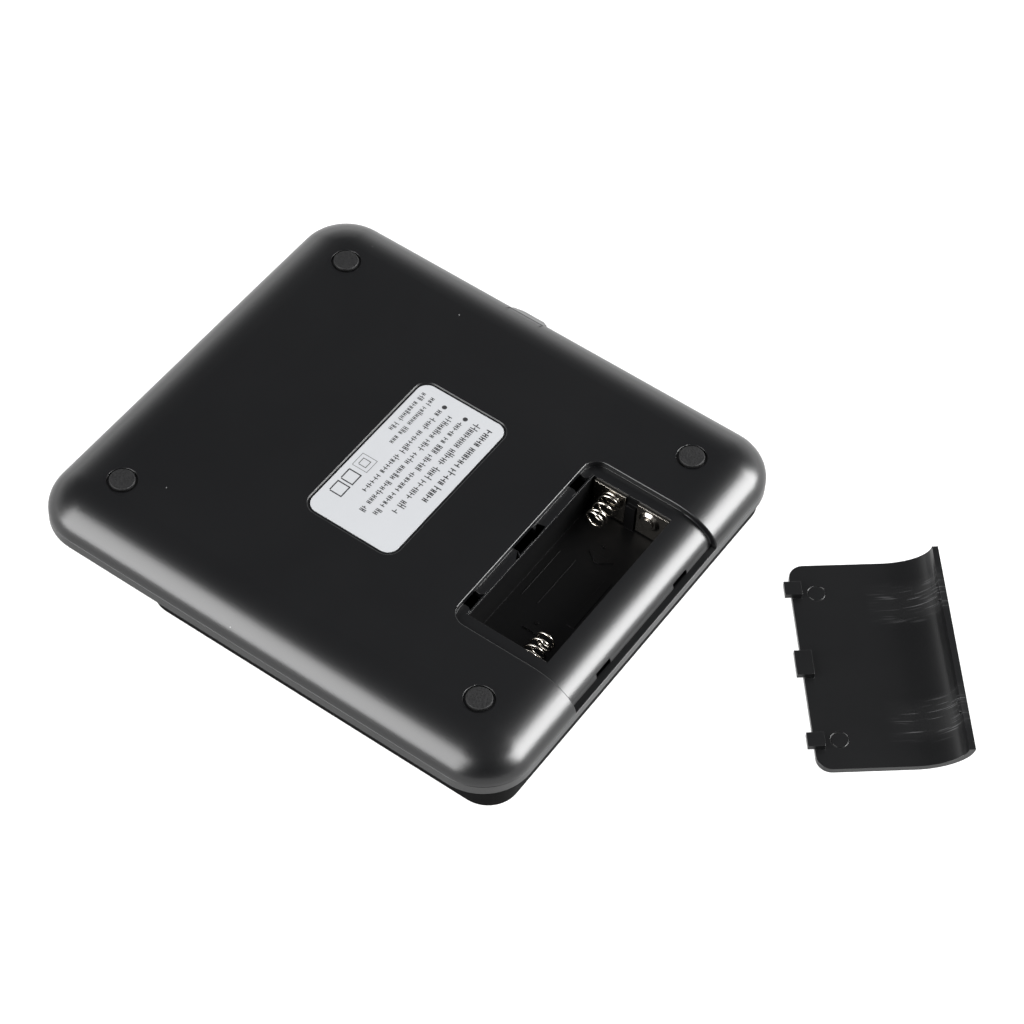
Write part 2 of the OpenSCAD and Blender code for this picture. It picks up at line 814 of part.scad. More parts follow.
module load_cell_screws() {
    color("silver")
        at_cell_screws(-1) {
            translate([0, 0, cell_z - 1.8])
                cylinder(r = cell_screw_r + 1.2, h = 1.8);
            translate([0, 0, cell_z - eps])
                cylinder(r = cell_screw_r, h = cell_t + cell_gap + 1);
        }
}

// Insulated wire along straight runs, with mitred-looking bends
module wire(points) {
    for (i = [0:len(points) - 2]) {
        d = points[i + 1] - points[i];
        l = norm(d);
        translate(points[i])
            rotate([0, acos(d[2] / l), atan2(d[1], d[0])])
                translate([0, 0, i == 0 ? 0 : -wire_r / 3])
                    cylinder(r = wire_r, h = l + (i == 0 ? wire_r / 3 : 2 * wire_r / 3), $fn = 8);
    }
}

module load_cell_cable() {
    x = cell_x - cell_w / 2;
    y = -9;
    color("#2b2b2b")
        wire([[x - 0.02, y, cell_z + 3], [x - 6, y, cell_z + 3], [board_x1 + 9, y, wire_on_board],
            [board_x1 - 4, y, wire_on_board]]);
}

// Lead from the back of a contact plate round the load cell to the board
module battery_lead(x, y_run, y_board) {
    wire([[x, bay_y1 - 0.13, wire_mid_z], [x, y_run, wire_mid_z],
        [board_x1 + 12, y_run, wire_mid_z], [board_x1 + 3, y_board, wire_on_board],
        [board_x1 - 4, y_board, wire_on_board]]);
}

module battery_lead_red() {
    color("#b02020")
        battery_lead(outer_x, cell_l / 2 + 5, 28);
}

module battery_lead_black() {
    color("#202020")
        battery_lead(inner_x, cell_l / 2 + 2.6, 25);
}

// ---- Display and keys ----

module main_board() {
    color("#1f6b3a")
        difference() {
            block(board_x0, board_x1, -board_l / 2, board_l / 2, board_z, board_z + board_t);
            at_board_screws()
                translate([0, 0, board_z - 1])
                    cylinder(r = board_screw_r + 0.1, h = board_t + 2);
        }
}

module board_screws() {
    color("silver")
        at_board_screws() {
            translate([0, 0, board_top])
                cylinder(r = 1.8, h = 0.7);
            translate([0, 0, plate_in_z + 1])
                cylinder(r = board_screw_r, h = board_top - plate_in_z - 1 + eps);
        }
}

module controller_chip() {
    color("black")
        translate([lcd_x + 2, 12, board_top]) {
            cylinder(r = 4.5, h = 0.5);
            cylinder(r1 = 4, r2 = 3, h = 0.9);
        }
}

module tact_switches() {
    color("#3a3a3c")
        at_keys()
            difference() {
                block(-switch_size / 2, switch_size / 2, -switch_size / 2, switch_size / 2,
                    switch_z, board_z);
                translate([0, 0, switch_z - 1])
                    cylinder(r = plunger_r + plunger_fit, h = 2.6);
            }
}

module lcd_glass() {
    color("#9aa58c")
        block(lcd_x - glass_w / 2, lcd_x + glass_w / 2, -window_l / 2 - 2, window_l / 2 + 2,
            glass_z, glass_z + glass_t);
}

module backlight() {
    color("white")
        block(lcd_x - glass_w / 2 + zebra_w + 0.6, lcd_x + glass_w / 2 - 0.4, -window_l / 2 - 1,
            window_l / 2 + 1, glass_z + glass_t + 0.02, board_z - 0.6);
}

module zebra_strip() {
    color("#c98f9a")
        block(lcd_x - glass_w / 2 + 0.2, lcd_x - glass_w / 2 + 0.2 + zebra_w, -window_l / 2 + 1,
            window_l / 2 - 1, glass_z + glass_t + 0.01, board_z - 0.01);
}

module display_window() {
    color([0.6, 0.65, 0.68, 0.4])
        block(lcd_x - window_w / 2 + 0.1, lcd_x + window_w / 2 - 0.1, 0.1 - window_l / 2,
            window_l / 2 - 0.1, top_z + 0.02, top_z + window_t);
}

module display_overlay() {
    color("#17181a")
        difference() {
            rounded_prism(6 - hl, tray_x0 - 1.2, 6 - hw, hw - 6, 5, top_z - overlay_t, top_z - 0.01);
            block(lcd_x - window_w / 2 + 0.6, lcd_x + window_w / 2 - 0.6, 1.2 - window_l / 2,
                window_l / 2 - 1.2, top_z - 1, top_z + 1);
            at_keys()
                key_outline(key_gap, top_z - 1, top_z + 1);
        }
}

module key(i) {
    color("#d8dadd")
        translate([key_x, (i - 1.5) * key_pitch, 0]) {
            key_outline(0, top_z - key_cap_out, plate_in_z + 0.1 + eps);
            key_outline(0.8, plate_in_z + 0.1, plate_in_z + 0.1 + flange_t);
            translate([0, 0, plate_in_z + 0.1])
                cylinder(r = plunger_r, h = switch_z + 0.8 - plate_in_z - 0.1);
        }
}

base_shell();
top_shell();
battery_cover();
foot(-1, -1);  // foot_display_left
foot(-1, 1);  // foot_display_right
foot(1, -1);  // foot_battery_left
foot(1, 1);  // foot_battery_right
rating_label();
housing_screws();
spring_inner();
spring_outer();
spring_plate();
positive_plate();
link_plate();
platform_tray();
platform_skin();
platform_spider();
platform_spacer();
platform_screws();
load_cell();
strain_gauges();
load_cell_screws();
load_cell_cable();
main_board();
board_screws();
controller_chip();
tact_switches();
lcd_glass();
backlight();
zebra_strip();
display_window();
display_overlay();
battery_lead_red();
battery_lead_black();
key(0);  // key_power
key(1);  // key_tare
key(2);  // key_unit
key(3);  // key_count
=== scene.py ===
# %% [markdown]
# A pocket platform scale lies face down with its underside up, and the cover of its cell bay lies beside it.
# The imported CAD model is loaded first. It is a fixed frame: every piece made here takes its place from it,
# in metres, and rides on one of its bodies.

# %% Load the frame
import bpy
import bmesh
import json
import math
import random
from mathutils import Matrix, Vector

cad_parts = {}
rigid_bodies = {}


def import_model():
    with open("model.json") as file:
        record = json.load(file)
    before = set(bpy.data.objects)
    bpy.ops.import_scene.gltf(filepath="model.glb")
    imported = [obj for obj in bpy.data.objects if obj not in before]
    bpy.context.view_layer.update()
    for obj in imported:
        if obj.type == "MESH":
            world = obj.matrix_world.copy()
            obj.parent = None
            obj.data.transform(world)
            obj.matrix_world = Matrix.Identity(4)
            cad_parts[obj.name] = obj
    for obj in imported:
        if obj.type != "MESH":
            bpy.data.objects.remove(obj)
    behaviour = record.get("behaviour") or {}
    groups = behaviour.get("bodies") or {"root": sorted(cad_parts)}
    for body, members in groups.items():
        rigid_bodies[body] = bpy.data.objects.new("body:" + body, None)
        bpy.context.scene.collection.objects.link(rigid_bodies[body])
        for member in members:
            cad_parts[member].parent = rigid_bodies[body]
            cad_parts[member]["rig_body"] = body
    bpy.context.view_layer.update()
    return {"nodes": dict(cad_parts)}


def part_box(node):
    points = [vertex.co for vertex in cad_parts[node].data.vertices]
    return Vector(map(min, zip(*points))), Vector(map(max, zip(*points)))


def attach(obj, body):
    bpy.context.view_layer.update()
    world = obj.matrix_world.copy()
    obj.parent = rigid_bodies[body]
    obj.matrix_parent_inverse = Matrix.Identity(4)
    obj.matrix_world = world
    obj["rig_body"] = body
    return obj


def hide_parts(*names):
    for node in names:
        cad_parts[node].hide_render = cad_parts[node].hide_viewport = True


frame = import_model()
nodes = frame["nodes"]
MM = 0.001

# %% [markdown]
# The camera stands off the battery end, about three quarters of a metre away, and looks down with a long
# lens. A long lens keeps the sides of a small flat product nearly parallel, as in a catalogue view.

# %% Camera
camera = bpy.data.objects.new("camera", bpy.data.cameras.new("camera"))
bpy.context.scene.collection.objects.link(camera)
camera.data.lens = 111.63
camera.data.sensor_width = 36
camera.location = (0.26665, -0.37966, 0.60285)
camera.rotation_euler = [math.radians(a) for a in (37.663, -2.457, 35.253)]
bpy.context.scene.camera = camera
bpy.context.scene.view_settings.view_transform = "Standard"
print("camera at", tuple(round(c, 3) for c in camera.location))

# %% [markdown]
# Black plastic has hardly any colour of its own, so what shows its form is what it mirrors. The sheet it
# lies on is lit beyond white, the sky is white at the horizon and dark overhead, and two large soft
# lights stand low, where the rounded edges mirror them. That draws broad bands of light along the edges
# and leaves the flat underside dark.

# %% Floor and sky
def new_piece(name, bm):
    mesh = bpy.data.meshes.new(name)
    bm.to_mesh(mesh)
    bm.free()
    piece = bpy.data.objects.new(name, mesh)
    bpy.context.scene.collection.objects.link(piece)
    return piece


def node_in(tree, kind, values=None, **settings):
    made = tree.nodes.new(kind)
    for key, value in settings.items():
        setattr(made, key, value)
    for key, value in (values or {}).items():
        if isinstance(value, bpy.types.NodeSocket):
            tree.links.new(value, made.inputs[key])
        else:
            made.inputs[key].default_value = value
    return made


bm = bmesh.new()
bmesh.ops.create_grid(bm, x_segments=1, y_segments=1, size=6)
floor = new_piece("floor", bm)
paper = bpy.data.materials.new("white studio sheet")
paper.use_nodes = True
paper_shader = paper.node_tree.nodes["Principled BSDF"]
paper_shader.inputs["Roughness"].default_value = 0.9
paper_shader.inputs["Specular IOR Level"].default_value = 0.1
place = node_in(paper.node_tree, "ShaderNodeTexCoord")
fibres = node_in(paper.node_tree, "ShaderNodeTexNoise", {"Vector": place.outputs["Object"], "Scale": 60.0})
ramp = node_in(paper.node_tree, "ShaderNodeValToRGB", {"Fac": fibres.outputs["Fac"]})
ramp.color_ramp.elements[0].color = (0.29, 0.29, 0.29, 1)
ramp.color_ramp.elements[1].color = (0.32, 0.32, 0.32, 1)
paper.node_tree.links.new(ramp.outputs["Color"], paper_shader.inputs["Base Color"])
seen = node_in(paper.node_tree, "ShaderNodeLightPath")
paper_shader.inputs["Emission Color"].default_value = (1, 1, 1, 1)
glow = node_in(paper.node_tree, "ShaderNodeMath", {0: seen.outputs["Is Camera Ray"], 1: 0.25, 2: 0.55},
    operation="MULTIPLY_ADD")
paper.node_tree.links.new(glow.outputs[0], paper_shader.inputs["Emission Strength"])
floor.data.materials.append(paper)

world = bpy.data.worlds.new("studio")
bpy.context.scene.world = world
world.use_nodes = True
sky = world.node_tree
around = node_in(sky, "ShaderNodeTexCoord")
height = node_in(sky, "ShaderNodeSeparateXYZ", {"Vector": around.outputs["Generated"]})
fade = node_in(sky, "ShaderNodeValToRGB", {"Fac": height.outputs["Z"]})
fade.color_ramp.elements[0].position = 0.08
fade.color_ramp.elements[0].color = (1, 1, 1, 1)
fade.color_ramp.elements[1].position = 0.5
fade.color_ramp.elements[1].color = (0.07, 0.07, 0.073, 1)
facing = node_in(sky, "ShaderNodeVectorMath", {0: around.outputs["Generated"], 1: (0.57, -0.82, 0.0)},
    operation="DOT_PRODUCT")
behind = node_in(sky, "ShaderNodeMapRange", {"Value": facing.outputs["Value"], "From Min": 0.1,
    "From Max": 0.8, "To Min": 1.0, "To Max": 0.15})
sky.links.new(fade.outputs["Color"], sky.nodes["Background"].inputs["Color"])
level = node_in(sky, "ShaderNodeMath", {0: behind.outputs["Result"], 1: 2.0}, operation="MULTIPLY")
sky.links.new(level.outputs[0], sky.nodes["Background"].inputs["Strength"])
print("sky fades from the horizon to", fade.color_ramp.elements[1].position)


# %% Soft lights
def soft_light(name, towards, distance, width, height, radiance):
    light = bpy.data.objects.new(name, bpy.data.lights.new(name, "AREA"))
    bpy.context.scene.collection.objects.link(light)
    aim = Vector(towards).normalized()
    light.location = aim * distance
    light.rotation_euler = aim.to_track_quat("Z", "Y").to_euler()
    light.data.shape = "RECTANGLE"
    light.data.size, light.data.size_y = width, height
    light.data.energy = radiance * width * height * math.pi
    print(name, "at", tuple(round(c, 2) for c in light.location))
    return light


soft_light("front light", (-0.38, -0.78, 0.50), 1.5, 1.3, 1.4, 10.5)
soft_light("right light", (0.72, 0.472, 0.46), 1.5, 1.2, 0.85, 22)

# %% [markdown]
# Effects that several finishes share are shader node groups. Each puts out masks, values or a normal, and
# each material sets its own numbers. The first is the skin of a moulded part: the steel of the mould is
# spark eroded, which leaves fine pits and bumps a fifth of a millimetre across.

# %% Group tools
def new_group(name, inputs, outputs):
    group = bpy.data.node_groups.new(name, "ShaderNodeTree")
    for label, kind, value in inputs:
        socket = group.interface.new_socket(label, in_out="INPUT", socket_type="NodeSocket" + kind)
        if value is not None:
            socket.default_value = value
    for label, kind in outputs:
        group.interface.new_socket(label, in_out="OUTPUT", socket_type="NodeSocket" + kind)
    return group, group.nodes.new("NodeGroupInput").outputs, group.nodes.new("NodeGroupOutput").inputs


def calc(tree, operation, a, b=None, c=None):
    values = {0: a}
    if b is not None:
        values[1] = b
    if c is not None:
        values[2] = c
    return node_in(tree, "ShaderNodeMath", values, operation=operation).outputs[0]


def fade_over(tree, value, low, high, start=0.0, end=1.0):
    return node_in(tree, "ShaderNodeMapRange", {"Value": value, "From Min": low, "From Max": high,
        "To Min": start, "To Max": end}, clamp=True).outputs["Result"]


# %% Moulded skin
skin, into, out = new_group("moulded skin",
    [("Place", "Vector", None), ("Grain per metre", "Float", 4000.0), ("Depth", "Float", 0.4)],
    [("Height", "Float"), ("Normal", "Vector")])
fine = node_in(skin, "ShaderNodeTexNoise", {"Vector": into["Place"], "Scale": into["Grain per metre"],
    "Detail": 2.0})
coarse = node_in(skin, "ShaderNodeTexNoise", {"Vector": into["Place"],
    "Scale": calc(skin, "MULTIPLY", into["Grain per metre"], 0.35), "Detail": 1.0})
both = calc(skin, "ADD", fine.outputs["Fac"], coarse.outputs["Fac"])
bump = node_in(skin, "ShaderNodeBump", {"Strength": into["Depth"], "Distance": 0.00002, "Height": both})
skin.links.new(both, out["Height"])
skin.links.new(bump.outputs["Normal"], out["Normal"])
print("group:", skin.name)

# %% [markdown]
# Nothing stays evenly clean. Handling leaves faint cloudy smears that change the gloss more than the
# colour, and a few specks of dust settle on every surface. Both are masks on Object coordinates, so they
# stay on the piece when it moves.

# %% Handling and dust
smears, into, out = new_group("handling smears",
    [("Place", "Vector", None), ("Size per metre", "Float", 25.0), ("Gloss", "Float", 0.4),
    ("Change", "Float", 0.05)], [("Roughness", "Float"), ("Mask", "Float")])
cloud = node_in(smears, "ShaderNodeTexNoise", {"Vector": into["Place"], "Scale": into["Size per metre"],
    "Detail": 4.0, "Roughness": 0.6, "Distortion": 0.6})
smears.links.new(cloud.outputs["Fac"], out["Mask"])
centred = calc(smears, "SUBTRACT", cloud.outputs["Fac"], 0.5)
smears.links.new(calc(smears, "MULTIPLY_ADD", centred, into["Change"], into["Gloss"]), out["Roughness"])

dust, into, out = new_group("dust specks",
    [("Place", "Vector", None), ("Cells per metre", "Float", 260.0), ("Size", "Float", 0.035),
    ("Share", "Float", 0.3)], [("Mask", "Float")])
spots = node_in(dust, "ShaderNodeTexVoronoi", {"Vector": into["Place"], "Scale": into["Cells per metre"]})
lot = node_in(dust, "ShaderNodeSeparateColor", {"Color": spots.outputs["Color"]})
near = calc(dust, "LESS_THAN", spots.outputs["Distance"],
    calc(dust, "MULTIPLY", into["Size"], calc(dust, "ADD", lot.outputs["Green"], 0.3)))
dust.links.new(calc(dust, "MULTIPLY", near, calc(dust, "LESS_THAN", lot.outputs["Red"], into["Share"])),
    out["Mask"])
print("groups:", smears.name, "and", dust.name)

# %% [markdown]
# Sliding parts leave hairline scratches. They are thin slices of a noise that is stretched a hundred
# times along the direction of rubbing, kept only inside the zone that the other part touches.

# %% Scratches and brushing
hairlines, into, out = new_group("hairline scratches",
    [("Place", "Vector", None), ("Stretch", "Vector", (60.0, 5000.0, 60.0)), ("Share", "Float", 0.04)],
    [("Mask", "Float")])
drawn = node_in(hairlines, "ShaderNodeVectorMath", {0: into["Place"], 1: into["Stretch"]},
    operation="MULTIPLY")
bent = node_in(hairlines, "ShaderNodeTexNoise", {"Vector": drawn.outputs["Vector"], "Scale": 1.0,
    "Detail": 1.0})
edge_of = calc(hairlines, "SUBTRACT", 0.72, into["Share"])
hairlines.links.new(fade_over(hairlines, bent.outputs["Fac"], edge_of, 0.74), out["Mask"])

brushing, into, out = new_group("brushed lines",
    [("Place", "Vector", None), ("Stretch", "Vector", (40.0, 4000.0, 400.0)), ("Depth", "Float", 0.3)],
    [("Height", "Float"), ("Normal", "Vector")])
drawn = node_in(brushing, "ShaderNodeVectorMath", {0: into["Place"], 1: into["Stretch"]},
    operation="MULTIPLY")
lines = node_in(brushing, "ShaderNodeTexNoise", {"Vector": drawn.outputs["Vector"], "Scale": 1.0,
    "Detail": 3.0})
bump = node_in(brushing, "ShaderNodeBump", {"Strength": into["Depth"], "Distance": 0.00002,
    "Height": lines.outputs["Fac"]})
brushing.links.new(lines.outputs["Fac"], out["Height"])
brushing.links.new(bump.outputs["Normal"], out["Normal"])
print("groups:", hairlines.name, "and", brushing.name)


# %% [markdown]
# Every plastic, rubber and metal of the scale is built the same way: two close tones mixed by the smears,
# the gloss moved a little by the same smears, dust mixed in last, and a bump from the skin. The recipe is
# one function, and the numbers make the difference.

# %% Recipe for a finish
def place_group(tree, group, values):
    made = tree.nodes.new("ShaderNodeGroup")
    made.node_tree = group
    for key, value in values.items():
        if isinstance(value, bpy.types.NodeSocket):
            tree.links.new(value, made.inputs[key])
        else:
            made.inputs[key].default_value = value
    return made.outputs


def blend_colour(tree, amount, first, second):
    made = tree.nodes.new("ShaderNodeMix")
    made.data_type = "RGBA"
    for socket, value in ((made.inputs[0], amount), (made.inputs[6], first), (made.inputs[7], second)):
        if isinstance(value, bpy.types.NodeSocket):
            tree.links.new(value, socket)
        else:
            socket.default_value = value if isinstance(value, float) else (*value[:3], 1)
    return made.outputs[2]


def finish(name, tones, gloss, change=0.06, grain=4000.0, depth=0.3, metallic=0.0, brushed=None,
        smear_size=25.0, dust_share=0.0, **sockets):
    made = bpy.data.materials.new(name)
    made.use_nodes = True
    tree = made.node_tree
    shader = tree.nodes["Principled BSDF"]
    spot = node_in(tree, "ShaderNodeTexCoord").outputs["Object"]
    smear = place_group(tree, smears, {"Place": spot, "Size per metre": smear_size, "Gloss": gloss,
        "Change": change})
    colour = blend_colour(tree, smear["Mask"], tones[0], tones[1])
    roughness = smear["Roughness"]
    if dust_share:
        specks = place_group(tree, dust, {"Place": spot, "Share": dust_share})["Mask"]
        colour = blend_colour(tree, specks, colour, (0.16, 0.16, 0.16))
    if brushed:
        normal = place_group(tree, brushing, {"Place": spot, "Stretch": brushed, "Depth": depth})["Normal"]
    else:
        normal = place_group(tree, skin, {"Place": spot, "Grain per metre": grain,
            "Depth": depth})["Normal"]
    tree.links.new(colour, shader.inputs["Base Color"])
    tree.links.new(roughness, shader.inputs["Roughness"])
    tree.links.new(normal, shader.inputs["Normal"])
    shader.inputs["Metallic"].default_value = metallic
    for key, value in sockets.items():
        shader.inputs[key.replace("_", " ")].default_value = value
    return made


# %% Plastics, rubber and film
base_plastic = finish("satin black housing plastic", ((0.0022, 0.0023, 0.0026), (0.0032, 0.0033, 0.0036)),
    0.29, 0.05, grain=3600.0, depth=0.35, dust_share=0.10)
top_plastic = finish("satin black upper shell plastic", ((0.0022, 0.0023, 0.0025), (0.0030, 0.0031, 0.0034)),
    0.31, 0.05, grain=3600.0, depth=0.35)
# painted shade: the platform plastic is darker than the housing and barely reflective, standing in for the
# shade in the gap under the upper shell
tray_plastic_painted_shade = finish("black platform plastic", ((0.001, 0.001, 0.0011), (0.0015, 0.0015, 0.0016)),
    0.5, 0.05, grain=3000.0, depth=0.4, Specular_IOR_Level=0.03)
foot_rubber = finish("foot rubber", ((0.0001, 0.0001, 0.0002), (0.012, 0.012, 0.0124)),
    0.6, 0.9, grain=2200.0, depth=6.0, smear_size=2600.0, dust_share=0.9,
    Specular_IOR_Level=0.25)
key_plastic = finish("grey key plastic", ((0.30, 0.31, 0.33), (0.36, 0.37, 0.39)), 0.42, grain=3000.0)
switch_plastic = finish("switch body plastic", ((0.02, 0.02, 0.022), (0.03, 0.03, 0.033)), 0.5)
overlay_film = finish("black overlay film", ((0.008, 0.008, 0.009), (0.011, 0.011, 0.012)), 0.22, depth=0.1)
epoxy = finish("black potting", ((0.004, 0.004, 0.004), (0.008, 0.008, 0.008)), 0.25, depth=0.15,
    grain=900.0)
zebra_rubber = finish("striped contact rubber", ((0.35, 0.16, 0.18), (0.5, 0.28, 0.3)), 0.6,
    brushed=(20.0, 9000.0, 20.0))
red_lead = finish("red lead insulation", ((0.35, 0.015, 0.012), (0.45, 0.03, 0.02)), 0.38, depth=0.2)
black_lead = finish("black lead insulation", ((0.01, 0.01, 0.01), (0.02, 0.02, 0.02)), 0.4, depth=0.2)
board_green = finish("green solder resist", ((0.012, 0.12, 0.045), (0.02, 0.17, 0.065)), 0.3,
    smear_size=320.0, depth=0.25, grain=1500.0)
gauge_film = finish("clear coated foil", ((0.62, 0.5, 0.32), (0.8, 0.72, 0.55)), 0.25, smear_size=700.0)
light_guide = finish("light guide", ((0.75, 0.78, 0.8), (0.85, 0.87, 0.88)), 0.3, grain=1200.0)
print("finishes so far:", len(bpy.data.materials))

# %% [markdown]
# The core of the mould that makes the bay is polished less carefully than the outside, and no one sees
# it until the cover is off, so below the ledge the plastic is a little rougher. There its colour is also
# painted darker and its reflection weaker, as painted shade for the deep bay.

# %% Painted shade in the bay
tree = base_plastic.node_tree
shader = tree.nodes["Principled BSDF"]
axes = node_in(tree, "ShaderNodeSeparateXYZ",
    {"Vector": node_in(tree, "ShaderNodeTexCoord").outputs["Object"]}).outputs


def between(tree, value, middle, half):
    return calc(tree, "LESS_THAN", calc(tree, "ABSOLUTE", calc(tree, "SUBTRACT", value, middle)), half)


# painted shade: this mask marks the bay below the ledge, where the colour is darkened and the reflection
# weakened
inside = calc(tree, "MULTIPLY", fade_over(tree, axes["Z"], 0.0161, 0.0152),
    calc(tree, "MULTIPLY", between(tree, axes["X"], 0.04575, 0.0113), between(tree, axes["Y"], 0.0002, 0.0257)))
outer_colour = shader.inputs["Base Color"].links[0].from_socket
outer_gloss = shader.inputs["Roughness"].links[0].from_socket
# painted shade: inside the bay the colour is mixed towards near black, and below the specular level is turned
# down
tree.links.new(blend_colour(tree, inside, outer_colour, (0.0005, 0.0005, 0.0006)), shader.inputs["Base Color"])
tree.links.new(calc(tree, "ADD", outer_gloss, calc(tree, "MULTIPLY", inside, 0.22)),
    shader.inputs["Roughness"])
tree.links.new(calc(tree, "MULTIPLY_ADD", inside, -0.34, 0.5), shader.inputs["Specular IOR Level"])
print("finish with a duller bay:", base_plastic.name)

# %% [markdown]
# The metals share the recipe with the metallic value turned up. The nickel of the contact plates gets a
# far darker colour than the spring wire, as painted shade for plates down in the black bay; their edges still
# catch the lights.

# %% Metals
# painted shade: this nickel colour is much darker than the spring wire's, standing in for the shade in the bay
nickel = finish("nickel plate", ((0.20, 0.185, 0.165), (0.34, 0.32, 0.29)), 0.22, 0.12, grain=900.0,
    depth=0.35, metallic=1.0, smear_size=180.0)
spring_wire = finish("nickel plated spring wire", ((0.5, 0.46, 0.4), (0.68, 0.65, 0.6)), 0.2, 0.1,
    metallic=1.0, smear_size=300.0, brushed=(300.0, 300.0, 3000.0), depth=0.2)
zinc = finish("zinc plated screw", ((0.5, 0.5, 0.5), (0.62, 0.62, 0.6)), 0.32, 0.12, metallic=1.0,
    smear_size=260.0)
brushed_skin = finish("brushed stainless skin", ((0.5, 0.5, 0.5), (0.6, 0.6, 0.6)), 0.3, 0.08, metallic=1.0,
    brushed=(40.0, 4000.0, 400.0), depth=0.5)
sheet_steel = finish("zinc plated sheet", ((0.42, 0.42, 0.42), (0.55, 0.55, 0.54)), 0.38, 0.14,
    metallic=1.0, smear_size=140.0, grain=700.0)
aluminium = finish("machined aluminium", ((0.62, 0.62, 0.63), (0.74, 0.74, 0.75)), 0.3, 0.08, metallic=1.0,
    brushed=(4000.0, 60.0, 4000.0), depth=0.4)

# %% [markdown]
# The display is clear glass with a faint green cast, under a clear acrylic window. Glass keeps a plain
# metallic and transmission value, so only its colour and gloss vary.

# %% Clear parts
display_glass = finish("display glass", ((0.42, 0.48, 0.38), (0.5, 0.56, 0.46)), 0.12, 0.04, depth=0.05,
    Transmission_Weight=0.6, IOR=1.52)
window_clear = finish("clear window", ((0.86, 0.88, 0.9), (0.92, 0.93, 0.95)), 0.06, 0.03, depth=0.02,
    Transmission_Weight=0.9, IOR=1.49)
print("finishes:", len(bpy.data.materials))


# %% [markdown]
# A CAD solid has razor edges, and real plastic never does. Each visible shell is taken over as a merged
# copy whose flat faces are joined again and then cut by a coarse grid, so that each stays a simple polygon.
# Its edges get a small bevel with evened shading normals, and a bevel weight per edge makes the rims that a
# finger would feel softer than the ribs inside the bay and the thin edges of the tab slots.

# %% Softened copies of CAD shells
SHARP = math.radians(30)
FLAT = math.radians(0.3)
GRID_STEP, GRID_SHIFT = 5.3, 0.37


def softened(node, name, material, width, weigh=None):
    bm = bmesh.new()
    bm.from_mesh(nodes[node].data)
    bmesh.ops.remove_doubles(bm, verts=bm.verts, dist=2e-6)
    bmesh.ops.dissolve_limit(bm, angle_limit=FLAT, use_dissolve_boundaries=False,
        verts=bm.verts, edges=bm.edges, delimit=set())
    large = [f for f in bm.faces if len(f.verts) > 8]
    part = large + list({e for f in large for e in f.edges}) + list({v for f in large for v in f.verts})
    for normal in (Vector((1, 0, 0)), Vector((0, 1, 0))):
        for k in range(-16, 28):
            part = bmesh.ops.bisect_plane(bm, geom=part, dist=1e-7, plane_no=normal,
                plane_co=normal * (GRID_STEP * k + GRID_SHIFT) * MM)["geom"]
    weight = bm.edges.layers.float.new("bevel_weight_edge")
    for face in bm.faces:
        face.smooth = True
    for edge in bm.edges:
        edge.smooth = edge.calc_face_angle(0) < SHARP
        if not edge.smooth:
            middle = (edge.verts[0].co + edge.verts[1].co) / (2 * MM)
            edge[weight] = weigh(middle) if weigh else 1.0
    piece = new_piece(name, bm)
    stale = piece.data.attributes.get("custom_normal")
    if stale:
        piece.data.attributes.remove(stale)
    soft = piece.modifiers.new("soft edges", "BEVEL")
    soft.width = width * MM
    soft.segments = 3
    soft.limit_method = "WEIGHT"
    soft.use_clamp_overlap = False
    even = piece.modifiers.new("even shading", "WEIGHTED_NORMAL")
    even.keep_sharp = True
    piece.data.materials.clear()
    piece.data.materials.append(material)
    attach(piece, nodes[node]["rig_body"])
    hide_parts(node)
    print(name, "has", len(piece.data.polygons), "faces before its bevel")
    return piece


# %% Base shell
feet = [n for n in nodes.keys() if n.startswith("foot_")]
foot_at = [(Vector(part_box(n)[0]) + Vector(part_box(n)[1])) / (2 * MM) for n in feet]
label_low, label_high = (Vector(v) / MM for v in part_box("rating_label"))
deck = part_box("base_shell")[1][2] / MM
hull_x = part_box("top_shell")[1][0] / MM
BAY_TO_END, BAY_WIDTH, LEDGE_WIDTH = 11, 22, 2.7
recess_x, recess_y, recess_mid = hull_x - BAY_TO_END - BAY_WIDTH - LEDGE_WIDTH, 29.1, 0.2


def base_rims(middle):
    across = abs(middle.y - recess_mid)
    at_ledge = middle.x > recess_x - 4 and across < recess_y + 0.3
    if at_ledge and deck - 5 < middle.z < deck - 1.2 and middle.x < recess_x + 25:
        return 0.12
    if any((middle.xy - f.xy).length < 4.2 for f in foot_at):
        return 0.6 if middle.z > deck - 0.05 else 0.2
    if middle.x > recess_x - 0.4 and abs(across - recess_y) < 0.3:
        return 0.7
    if abs(middle.x - recess_x) < 4.2 and across < recess_y + 0.3 and middle.z > deck - 1.8 \
            and (middle.x < recess_x + 0.3 or across > recess_y - 4.2):
        return 0.7
    if middle.z > deck - 0.4 and label_low.x - 2 < middle.x < label_high.x + 2:
        return 0.45
    return 0.12 if middle.z < 6.5 else 0.3


softened("base_shell", "base_shell_soft", base_plastic, 0.35, base_rims)

# %% Upper shell, tray and contact plates
softened("top_shell", "top_shell_soft", top_plastic, 0.12)
softened("platform_tray", "platform_tray_soft", tray_plastic_painted_shade, 0.3)
for plate in ("spring_plate", "positive_plate", "link_plate"):
    softened(plate, plate + "_soft", nickel, 0.06)
